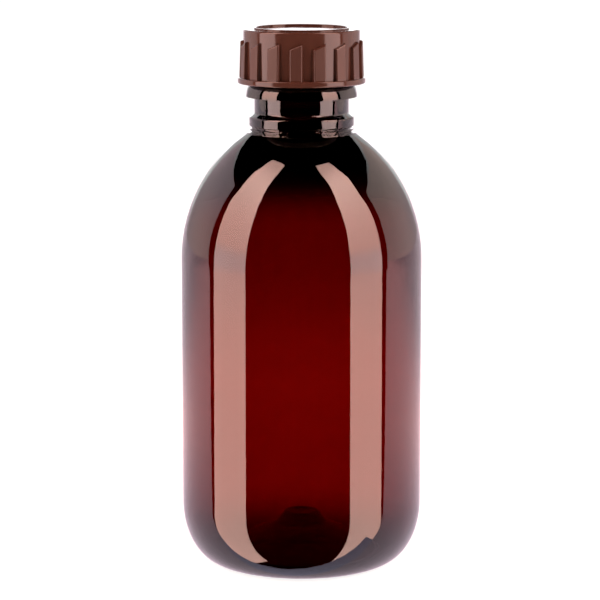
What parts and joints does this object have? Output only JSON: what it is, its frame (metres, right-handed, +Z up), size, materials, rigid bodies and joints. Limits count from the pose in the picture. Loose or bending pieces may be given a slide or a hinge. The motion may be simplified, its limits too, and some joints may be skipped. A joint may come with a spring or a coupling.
{
  "type": "medicine bottle",
  "caption": "Amber plastic syrup bottle with a round body, domed shoulder, narrow threaded neck and ribbed screw cap over a foam liner and pouring ring.",
  "frame": {"origin": "centre of the base, in the plane of the ring that the bottle stands on", "axes": "+Z up along the bottle's axis, from the base to the cap; -Y is the side that the front view faces"},
  "size_m": [0.0616, 0.0614, 0.138],
  "materials": {
    "amber_pet": "clear amber PET, polished, thin walls dark red, thick walls nearly black",
    "brown_cap": "glossy injection-moulded brown polypropylene",
    "liner_foam": "white closed-cell polyethylene foam disc",
    "ring_plastic": "natural low-density polyethylene, waxy"
  },
  "bodies": {
    "bottle": {"bottle": "amber_pet", "pour_ring": "ring_plastic"},
    "liner": {"liner": "liner_foam"},
    "cap": {"cap": "brown_cap"}
  },
  "joints": [
    {"name": "cap_rise", "type": "slide", "parent": "bottle", "child": "liner", "axis": [0, 0, 1], "range_m": [0, 0.0191]},
    {"name": "cap_turn", "type": "hinge", "parent": "liner", "child": "cap", "pos_m": [0, 0, 0.131], "axis": [0, 0, 1], "range_deg": [0, 2160]}
  ],
  "couplings": [
    {"joint": "cap_rise", "follows": "cap_turn", "m_per_rad": 0.00050611}
  ]
}
